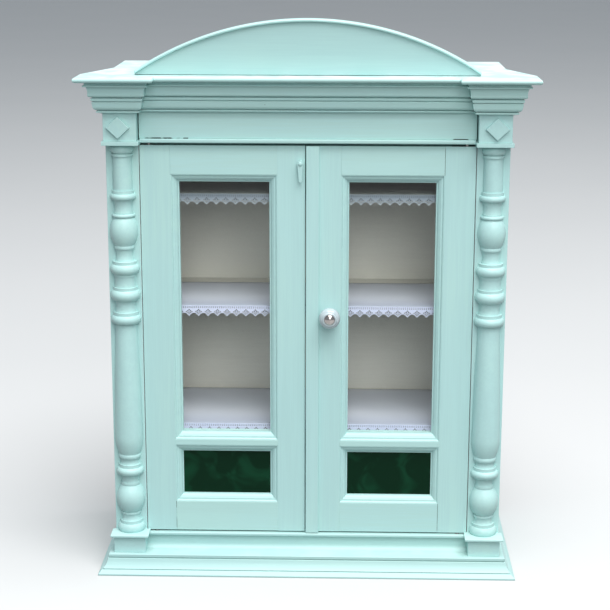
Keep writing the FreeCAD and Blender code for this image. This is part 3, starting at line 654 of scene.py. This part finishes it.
def finish_all(names, materials, **how):
    made = [finish_solid(name, materials, **how) for name in names]
    faces = sum(len(piece.data.polygons) for piece in made)
    print(len(made), "pieces in", materials[0].name, "with", faces, "faces")


# %% [markdown]
# ## Carcass, columns, cornice and doors
# Each kind of piece gets the finish that suits how it was brushed. Some have two finishes: a side
# panel is cream inside, the top board's rear edge is bare, and the faces of the gap beside each
# door are paler, a painted light against the gap's shade. A small test on each face's place and
# direction tells which finish it gets.

# %% Tests that pick a face
WALL_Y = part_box("back_panel")[1].y
OUTSIDE_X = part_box("side_panel_right")[1].x
HINGE_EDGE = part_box("right_hinge_stile")[1].x
POST_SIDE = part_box("pilaster_right")[0].x
SQUARE_ON = 0.9
AT_FACE = 0.001
AT_GAP = 0.0005
SIDE_SKIN = 0.004
TURNED_IN = 0.2


def faces_wall(centre, normal):
    return normal.y > SQUARE_ON and centre.y > WALL_Y - AT_FACE


def faces_inside(centre, normal):
    inward = normal.x * centre.x < -TURNED_IN * abs(centre.x)
    return inward and abs(centre.x) < OUTSIDE_X - SIDE_SKIN


def closing_edge(centre, normal):
    """The gap at each door's hinge side: the door's outer edge and the post's inner side."""
    outward = normal.x * centre.x > 0
    door_edge = outward and abs(abs(centre.x) - HINGE_EDGE) < AT_GAP
    post_side = not outward and abs(abs(centre.x) - POST_SIDE) < AT_GAP
    return abs(normal.x) > SQUARE_ON and (door_edge or post_side)


print("gap beside each door", round((POST_SIDE - HINGE_EDGE) * 1000, 2), "mm")

# %% Finish the painted pieces
SIDES = ["side_panel_left", "side_panel_right"]
STANDING = ["pilaster_left", "pilaster_right", "left_hinge_stile", "left_meeting_stile",
            "right_hinge_stile", "right_meeting_stile", "cover_strip"]
LYING = ["frieze_board", "frieze_bead", "left_bottom_rail", "left_glazing_bar", "left_top_rail",
         "right_bottom_rail", "right_glazing_bar", "right_top_rail", "door_stops"]
MITRED = ["left_mouldings", "right_mouldings", "capital_plates", "plinth_plates", "plinth_blocks"]
MOULDED = ["cornice_centre", "cornice_left", "cornice_right"]
BASE = ["base_moulding", "base_returns", "base_riser", "door_sill"]
ROUNDED_BEAD = 0.0016

finish_all(SIDES, [mint_upright, cream_inside], other_side=faces_inside)
finish_all(STANDING, [mint_upright, mint_gap_lightened], edge=FINELY_EASED, other_side=closing_edge)
finish_all(LYING, [mint_level], edge=FINELY_EASED)
finish_all(MITRED, [mint_mitred], edge=FINELY_EASED)
finish_all(MOULDED, [mint_moulded])
finish_all(BASE, [mint_base_shaded])
finish_all(["pediment_board"], [mint_arch_shaded], edge=FINELY_EASED)
finish_all(["pediment_bead"], [mint_level], edge=ROUNDED_BEAD)
finish_all(["top_board"], [mint_top, pine], other_side=faces_wall)
finish_all(["capital_blocks"], [mint_block], edge=FINELY_EASED)
finish_all(["half_column_left", "half_column_right"], [mint_turned], edge=0)
finish_all(["turn_latch", "latch_screw"], [mint_turned], edge=FINELY_EASED)

# %% [markdown]
# ## Two diamonds and the latch's ring
# The diamonds on the blocks are thin flat plates, so they are built anew from eight corners each,
# in the same box as the solids. The ring behind the latch is a plain solid. Its front face stays a
# hair behind the latch, because two faces in one plane would flicker and count as a touch.

# %% Diamonds and ring
DIAMOND_HALF_WIDTH = 0.018
DIAMOND_FRONT_SHARE = 0.95
DIAMOND_EASED = 0.0007
RING_CLEARANCE = 0.00005


def raised_diamonds():
    """Two flat diamonds with nearly upright sides, as wide and as thick as the solids."""
    low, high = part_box("capital_diamonds")
    wide, tall, level = DIAMOND_HALF_WIDTH, (high.z - low.z) / 2, (high.z + low.z) / 2
    shape = bmesh.new()
    for side in (-1, 1):
        middle = side * (high.x - wide)
        back, front = [[shape.verts.new((middle + share * x, y, level + share * z))
                        for x, z in ((wide, 0), (0, tall), (-wide, 0), (0, -tall))]
                       for y, share in ((high.y, 1.0), (low.y, DIAMOND_FRONT_SHARE))]
        shape.faces.new(back)
        shape.faces.new(front)
        for i in range(4):
            shape.faces.new((back[i], back[i - 1], front[i - 1], front[i]))
    bmesh.ops.recalc_face_normals(shape, faces=shape.faces)
    mesh = bpy.data.meshes.new("raised_diamonds")
    shape.to_mesh(mesh)
    shape.free()
    return mesh


finish_solid("capital_diamonds", [mint_mitred], edge=DIAMOND_EASED, mesh=raised_diamonds())
ring = finish_solid("latch_spacer", [mint_turned], edge=FINELY_EASED)
ring_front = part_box("latch_spacer")[0].y + RING_CLEARANCE
for corner in ring.data.vertices:
    corner.co.y = max(corner.co.y, ring_front)
print("diamonds and latch ring made")

# %% [markdown]
# ## The inside
# The back panel is cream towards the room and bare towards the wall. The shelves are cream, apart
# from their front edges: these show through the holes of the lace, and are painted dark grey as
# painted shade.

# %% Finish the inside
SHELVES = ["shelf_upper", "shelf_middle", "shelf_lower"]
SHELF_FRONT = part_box("shelf_upper")[0].y


def faces_front(centre, normal):
    return normal.y < -SQUARE_ON and centre.y < SHELF_FRONT + AT_FACE


finish_all(["back_panel"], [cream_inside, pine], other_side=faces_wall)
finish_all(["floor_board", "shelf_battens"], [cream_inside])
finish_all(SHELVES, [cream_inside, shelf_edge_shade], other_side=faces_front)

# %% [markdown]
# ## Clear glass
# The tall panes are old clear glass, a little uneven. To rays that carry light to the shelves the
# panes are plainly transparent, because light through refracting glass is slow and noisy. Real
# glass has an index near 1.5. Here it is lower, so that the studio's reflection stays as weak as
# the photograph needs.

# %% Clear panes
CLEAR_TINT = (0.99, 1.0, 0.995, 1)
CLEAR_INDEX = 1.27
PANE_EASED = 0.0003


def clear_glass():
    material, tree, place, out = new_material("clear_glass")
    normal = bumped(tree, clouds(tree, place, scale=9.0, detail=1.0), strength=0.12, distance=0.0004)
    pane = add(tree, "ShaderNodeBsdfPrincipled", {"Base Color": CLEAR_TINT, "Roughness": 0.0,
                                                  "IOR": CLEAR_INDEX, "Transmission Weight": 1.0,
                                                  "Normal": normal})
    through = add(tree, "ShaderNodeBsdfTransparent", {"Color": CLEAR_TINT})
    ray = add(tree, "ShaderNodeLightPath").outputs
    lit = maths(tree, "MAXIMUM", ray["Is Shadow Ray"], ray["Is Diffuse Ray"])
    show(tree, out, add(tree, "ShaderNodeMixShader", {0: lit, 1: pane.outputs[0], 2: through.outputs[0]}))
    return material


finish_all(["left_upper_pane", "right_upper_pane"], [clear_glass()], edge=PANE_EASED)

# %% [markdown]
# ## Green glass
# The low panes are dark green glass with a soft ripple. Hardly any light comes back through them,
# so they are an opaque dark green with clouds in it and a weak reflection, which is simpler than
# glass with a coloured body and looks the same from outside.

# %% Green panes
GREEN_TINTS = ((0.0015, 0.022, 0.0090), (0.0040, 0.046, 0.0205))
GREEN_SHINE = 0.06


def green_glass():
    material, tree, place, out = new_material("green_glass")
    ripple = clouds(tree, place, scale=16.0, detail=2.0, distortion=1.2)
    cloud = clouds(tree, place, scale=24.0, detail=2.0, distortion=0.8)
    tint = blend_colour(tree, ramp(tree, cloud, low=0.46, high=0.7), *GREEN_TINTS)
    normal = bumped(tree, ripple, strength=0.25, distance=0.001)
    pane = add(tree, "ShaderNodeBsdfPrincipled", {"Base Color": tint, "Roughness": 0.07, "IOR": 1.5,
                                                  "Normal": normal})
    pane.inputs["Specular IOR Level"].default_value = GREEN_SHINE
    show(tree, out, pane)
    return material


finish_all(["left_lower_pane", "right_lower_pane"], [green_glass()], edge=PANE_EASED)

# %% [markdown]
# ## Porcelain knob
# The knob is glazed porcelain. The body is a dull, cloudy white, and a clear coat over it gives the
# sharp highlight of the glaze.

# %% The knob
PORCELAIN_TINTS = ((0.46, 0.55, 0.59), (0.52, 0.60, 0.63))
PORCELAIN_SOIL = (0.30, 0.28, 0.25)
KNOB_EASED = 0.0005


def porcelain_glaze():
    material, tree, place, out = new_material("porcelain_glaze")
    tint = blend_colour(tree, clouds(tree, place, scale=120.0, detail=3.0), *PORCELAIN_TINTS)
    dirt_and_shade = use_group(tree, CREASE_GRIME_AND_SHADE, Place=place, Reach=0.004, Amount=0.4)["Grime_and_shade"]
    tint = blend_colour(tree, dirt_and_shade, tint, PORCELAIN_SOIL)
    skin = add(tree, "ShaderNodeBsdfPrincipled", {"Base Color": tint, "Roughness": 0.16})
    skin.inputs["Coat Weight"].default_value = 0.6
    skin.inputs["Coat Roughness"].default_value = 0.05
    show(tree, out, skin)
    return material


finish_all(["knob"], [porcelain_glaze()], edge=KNOB_EASED)

# %% [markdown]
# ## Metal
# The knob's bolt ends in a domed chrome cap. The pivots, bushes and hanging plates are plain steel
# that has gone dull. One recipe makes both: clouds change the tint and the shine together.

# %% Chrome and steel
METAL_SOIL = (0.04, 0.035, 0.03)
BOLT_EASED = 0.0002
PLATE_EASED = 0.0003
STEEL_PIECES = ["hanger_plates", "hanger_screws", "pivot_bushes", "left_pivots", "right_pivots"]


def metal(name, bright, dull, rough):
    """A metal with a clouded shine, darker in its creases."""
    material, tree, place, out = new_material(name)
    cloud = clouds(tree, place, scale=190.0, detail=5.0)
    dirt_and_shade = use_group(tree, CREASE_GRIME_AND_SHADE, Place=place, Reach=0.002, Amount=0.7)["Grime_and_shade"]
    tint = blend_colour(tree, ramp(tree, cloud, low=0.4, high=0.7), bright, dull)
    tint = blend_colour(tree, dirt_and_shade, tint, METAL_SOIL)
    shine = ramp(tree, cloud, low=0.35, high=0.7, start=rough[0], end=rough[1])
    show(tree, out, add(tree, "ShaderNodeBsdfPrincipled", {"Base Color": tint, "Roughness": shine,
                                                           "Metallic": 1.0}))
    return material


chrome = metal("chrome_cap", bright=(0.42, 0.385, 0.37), dull=(0.33, 0.30, 0.285), rough=(0.06, 0.14))
steel = metal("dull_steel", bright=(0.36, 0.35, 0.34), dull=(0.22, 0.20, 0.185), rough=(0.38, 0.6))
finish_all(["knob_bolt"], [chrome], edge=BOLT_EASED)
finish_all(STEEL_PIECES, [steel], edge=PLATE_EASED)

# %% [markdown]
# ## Cotton and lace thread
# Each shelf carries a strip of white cotton with a lace edging. Both are woven threads: two crossed
# waves make the weave in the bump, and the tint drifts. The cloth is painted darker towards its
# front edge, as painted shade. The upper shelf lies in the shade, so its cloth and lace are painted
# greyer, and its lace darker towards the top: painted shade as well.

# %% Cotton and lace finishes
COTTON_SOIL = (0.42, 0.42, 0.44)
CLOTH_WEAVE = 420.0
LACE_WEAVE = 700.0
CLOTH_SHADE_DEPTH = 0.07
LACE_SHADE_HEIGHT = 0.013
CLOTH_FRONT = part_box("runner_upper")[0].y
UPPER_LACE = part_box("runner_upper")[0].z


def white_cotton(name, weave, tints, sheen=0.2, shade_ramp=None):
    """Woven cotton in two tints that drift; the last argument is a painted shade: (axis, from, to, tint at
    from).
    """
    material, tree, place, out = new_material(name)
    warp, weft = [add(tree, "ShaderNodeTexWave", {"Vector": place, "Scale": weave, "Distortion": 0.4},
                      bands_direction=axis).outputs["Fac"] for axis in ("X", "Y")]
    drift = ramp(tree, clouds(tree, place, scale=8.0, detail=4.0), low=0.35, high=0.65)
    tint = blend_colour(tree, drift, *tints)
    # Painted shade: the tint changes along one axis, darker towards one end.
    if shade_ramp:
        axis, start, end, shaded_tint = shade_ramp
        along = add(tree, "ShaderNodeSeparateXYZ", {0: place}).outputs[axis]
        tint = blend_colour(tree, ramp(tree, along, start, end), shaded_tint, tint)
    dirt_and_shade = use_group(tree, CREASE_GRIME_AND_SHADE, Place=place, Reach=0.004, Amount=0.2)["Grime_and_shade"]
    tint = blend_colour(tree, dirt_and_shade, tint, COTTON_SOIL)
    normal = bumped(tree, maths(tree, "MULTIPLY", warp, weft), strength=0.3, distance=0.0002)
    skin = add(tree, "ShaderNodeBsdfPrincipled", {"Base Color": tint, "Roughness": 0.85, "Normal": normal})
    skin.inputs["Sheen Weight"].default_value = sheen
    skin.inputs["Specular IOR Level"].default_value = 0.1
    show(tree, out, skin)
    return material


cotton = white_cotton("white_cotton", CLOTH_WEAVE, ((0.63, 0.665, 0.75), (0.67, 0.70, 0.78)), sheen=0.1,
                      shade_ramp=("Y", CLOTH_FRONT, CLOTH_FRONT + CLOTH_SHADE_DEPTH, (0.40, 0.435, 0.53)))
lace_thread = white_cotton("lace_thread", LACE_WEAVE, ((0.66, 0.70, 0.89), (0.70, 0.74, 0.92)))
# Painted shade: the upper shelf's cloth and lace are painted darker for the shade they lie in.
shaded_cotton = white_cotton("shaded_cotton", CLOTH_WEAVE, ((0.29, 0.32, 0.30), (0.34, 0.37, 0.35)), sheen=0.0)
shaded_lace = white_cotton("shaded_lace", LACE_WEAVE, ((0.31, 0.375, 0.445), (0.35, 0.415, 0.485)), sheen=0.0,
                         shade_ramp=("Z", UPPER_LACE, UPPER_LACE + LACE_SHADE_HEIGHT, (0.62, 0.69, 0.76)))
print("cloth:", cotton.name, lace_thread.name, shaded_cotton.name, shaded_lace.name)

# %% [markdown]
# ## One repeat of the lace
# The lace is one motif, over and over: a point below, a rosette of eight holes around a small one,
# and two rows of net above. A flat curve fills an outline and leaves its inner rings open, so holes
# cost nothing to cut. Made a mesh and stood upright, it is one repeat.

# %% Draw the motif
LACE_PITCH = 0.0144
LACE_DROP = 0.0165
LACE_POINT = 0.005
CLOTH = 0.0006
POINT_STEPS = 12
ROSETTE_HOLES = 8
ROSETTE_LEVEL = 0.60
ROSETTE_WIDTH = 0.58
ROSETTE_HEIGHT = 0.20
ROSETTE_INNER = 0.62
NET_HOLES = 5
NET_ROWS = (0.10, 0.21)
HOLE = (0.20, 0.08)
MIDDLE_HOLE = (0.12, 0.05)
NET_HOLE = (0.14, 0.048)


def lace_repeat(pitch):
    """One repeat; a hole's size is a share of half the pitch and a share of the drop."""
    curve = bpy.data.curves.new("lace_repeat", "CURVE")
    curve.dimensions = "2D"
    curve.fill_mode = "BOTH"
    curve.extrude = CLOTH / 2
    half = pitch / 2

    def ring(points):
        spline = curve.splines.new("POLY")
        spline.points.add(len(points) - 1)
        for spot, (x, z) in zip(spline.points, points):
            spot.co = (x, z, 0, 1)
        spline.use_cyclic_u = True

    def lozenge(x, z, size):
        w, h = half * size[0], LACE_DROP * size[1]
        ring([(x - w, z), (x, z + h), (x + w, z), (x, z - h)])

    edge = []
    for i in range(POINT_STEPS + 1):
        x = -half + pitch * i / POINT_STEPS
        edge.append((x, -LACE_DROP + LACE_POINT * abs(math.sin(math.pi * x / pitch))))
    ring([(-half, 0.0)] + edge + [(half, 0.0)])
    middle = -LACE_DROP * ROSETTE_LEVEL
    for i in range(ROSETTE_HOLES):
        angle = math.radians(360 / ROSETTE_HOLES * i)
        reach = ROSETTE_INNER if i % 2 else 1.0
        lozenge(half * ROSETTE_WIDTH * reach * math.cos(angle),
                middle + LACE_DROP * ROSETTE_HEIGHT * reach * math.sin(angle), HOLE)
    lozenge(0.0, middle, MIDDLE_HOLE)
    for i in range(NET_HOLES):
        for row in NET_ROWS:
            lozenge(-half + pitch * (i + 0.5) / NET_HOLES, -LACE_DROP * row, NET_HOLE)
    obj = new_object("lace_repeat", curve)
    bpy.context.view_layer.update()
    mesh = bpy.data.meshes.new_from_object(obj.evaluated_get(bpy.context.evaluated_depsgraph_get()))
    bpy.data.objects.remove(obj)
    mesh.transform(Matrix.Rotation(math.radians(90), 4, "X"))
    return mesh


print("lace", LACE_DROP * 1000, "mm deep")

# %% [markdown]
# ## The lace edging
# The motif could be copied in a loop, but a tree of Geometry Nodes keeps count, pitch and wave as
# inputs. It sets the motif on a line of points, makes one mesh of the copies, and lets the free
# edge stand out a little here and there, more the further down it hangs.

# %% A tree that repeats the lace along the shelf
LACE_WELD = 0.00002
LACE_INPUTS = (("Count", "NodeSocketInt"), ("Pitch", FLOAT), ("Start", VECTOR), ("Wave", FLOAT),
               ("Thread", "NodeSocketMaterial"))


def lace_edging_tree(repeat):
    """Repeats one lace motif along X, lets the edging wave a little, and makes one mesh of it."""
    tree = bpy.data.node_groups.new("lace_edging", "GeometryNodeTree")
    tree.interface.new_socket("Geometry", in_out="OUTPUT", socket_type="NodeSocketGeometry")
    sockets = {}
    for label, kind in LACE_INPUTS:
        sockets[label] = tree.interface.new_socket(label, in_out="INPUT", socket_type=kind).identifier
    given = add(tree, "NodeGroupInput").outputs
    step = add(tree, "ShaderNodeCombineXYZ", {"X": given["Pitch"]})
    line = add(tree, "GeometryNodeMeshLine", {"Count": given["Count"], "Start Location": given["Start"],
                                              "Offset": step.outputs[0]})
    motif = add(tree, "GeometryNodeObjectInfo", {"Object": repeat})
    placed = add(tree, "GeometryNodeInstanceOnPoints", {"Points": line.outputs[0],
                                                        "Instance": motif.outputs["Geometry"]})
    real = add(tree, "GeometryNodeRealizeInstances", {0: placed.outputs[0]})
    joined = add(tree, "GeometryNodeMergeByDistance", {0: real.outputs[0], "Distance": LACE_WELD})
    noise = add(tree, "ShaderNodeTexNoise", {"Scale": 22.0, "Detail": 1.0}).outputs["Fac"]
    spot = add(tree, "ShaderNodeSeparateXYZ", {0: add(tree, "GeometryNodeInputPosition").outputs[0]})
    start = add(tree, "ShaderNodeSeparateXYZ", {0: given["Start"]})
    hang = maths(tree, "SUBTRACT", start.outputs["Z"], spot.outputs["Z"])
    swing = maths(tree, "MULTIPLY", maths(tree, "MULTIPLY", noise, given["Wave"]),
                  maths(tree, "DIVIDE", hang, LACE_DROP))
    forward = add(tree, "ShaderNodeCombineXYZ", {"Y": maths(tree, "MULTIPLY", swing, -1.0)})
    waved = add(tree, "GeometryNodeSetPosition", {0: joined.outputs[0], "Offset": forward.outputs[0]})
    dyed = add(tree, "GeometryNodeSetMaterial", {0: waved.outputs[0], "Material": given["Thread"]})
    tree.links.new(dyed.outputs[0], add(tree, "NodeGroupOutput").inputs[0])
    return tree, sockets


def lace_edging(name, count, pitch, start, wave, thread):
    """One edging as a plain mesh; the tree's inputs are set before it is first worked out."""
    repeat = new_object("lace_motif", lace_repeat(pitch))
    tree, sockets = lace_edging_tree(repeat)
    lace = new_object(name, bpy.data.meshes.new(name))
    edging = lace.modifiers.new("edging", "NODES")
    edging.node_group = tree
    values = {"Count": count, "Pitch": pitch, "Start": start, "Wave": wave, "Thread": thread}
    for label, value in values.items():
        edging[sockets[label]] = value
    bpy.context.view_layer.update()
    settled_mesh(lace)
    bpy.data.objects.remove(repeat)
    return lace


print("edging tree ready, inputs:", [label for label, _ in LACE_INPUTS])

# %% [markdown]
# ## The cloth
# The cloth lies flat on the shelf and turns down over its front edge, under the lace. A simulation
# would only find the same flat sheet, so it is a grid that follows that line, with the thickness of
# thin cotton added by Solidify.

# %% A strip of cotton
CLOTH_BEND = 0.0016
CLOTH_TURNED_DOWN = 0.0022
BEND_ANGLES = (22.5, 45, 67.5, 90)
CLOTH_ROWS = 14
CLOTH_COLUMNS = 48


def cloth_strip(name, low, high, front_y, top_z):
    """Cotton laid on a shelf: a fine grid that lies flat and turns down over the front edge."""
    run = [(front_y, top_z - CLOTH_TURNED_DOWN), (front_y, top_z - CLOTH_BEND)]
    for angle in map(math.radians, BEND_ANGLES):
        run.append((front_y + CLOTH_BEND - CLOTH_BEND * math.cos(angle),
                    top_z - CLOTH_BEND + CLOTH_BEND * math.sin(angle)))
    deep = high.y - front_y - CLOTH_BEND
    run += [(front_y + CLOTH_BEND + deep * (i + 1) / CLOTH_ROWS, top_z) for i in range(CLOTH_ROWS)]
    shape = bmesh.new()
    rows = []
    for i in range(CLOTH_COLUMNS + 1):
        x = low.x + (high.x - low.x) * i / CLOTH_COLUMNS
        rows.append([shape.verts.new((x, y, z)) for y, z in run])
    for a, b in zip(rows, rows[1:]):
        for j in range(len(run) - 1):
            shape.faces.new((a[j], a[j + 1], b[j + 1], b[j]))
    for face in shape.faces:
        face.smooth = True
    bmesh.ops.recalc_face_normals(shape, faces=shape.faces)
    mesh = bpy.data.meshes.new(name)
    shape.to_mesh(mesh)
    shape.free()
    cloth = new_object(name, mesh)
    thick = cloth.modifiers.new("thickness", "SOLIDIFY")
    thick.thickness = CLOTH
    thick.offset = -1.0
    return cloth


print("cloth", CLOTH * 1000, "mm thick")

# %% [markdown]
# ## Runners on the shelves
# Three runners, one for each shelf, each in the place of its solid. Cloth and lace belong together:
# the cloth is laid on its shelf, with the lace along its front edge.
# A whole number of points fits the width, so the pitch is adjusted to it.

# %% Lay the runners
LACE_WAVE = 0.0009
LACE_INSET = 0.0001
RUNNERS = (("upper", shaded_cotton, shaded_lace), ("middle", cotton, lace_thread), ("lower", cotton, lace_thread))

for shelf, cloth_finish, lace_finish in RUNNERS:
    node = "runner_" + shelf
    low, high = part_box(node)
    shelf_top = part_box("shelf_" + shelf)[1].z
    width = high.x - low.x
    count = int(width / LACE_PITCH)
    pitch = width / count
    front_y = low.y + LACE_INSET
    start = (low.x + pitch / 2, front_y + CLOTH / 2, shelf_top)
    lace = lace_edging("lace_" + shelf, count, pitch, start, LACE_WAVE, lace_finish)
    cloth = cloth_strip("cloth_" + shelf, low, high, front_y, shelf_top + CLOTH)
    cloth.data.materials.append(cloth_finish)
    settled_mesh(cloth)
    for piece in (lace, cloth):
        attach(piece, "carcass")
    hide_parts(node)
    print(shelf, "runner:", count, "points,", len(lace.data.polygons), "lace faces")
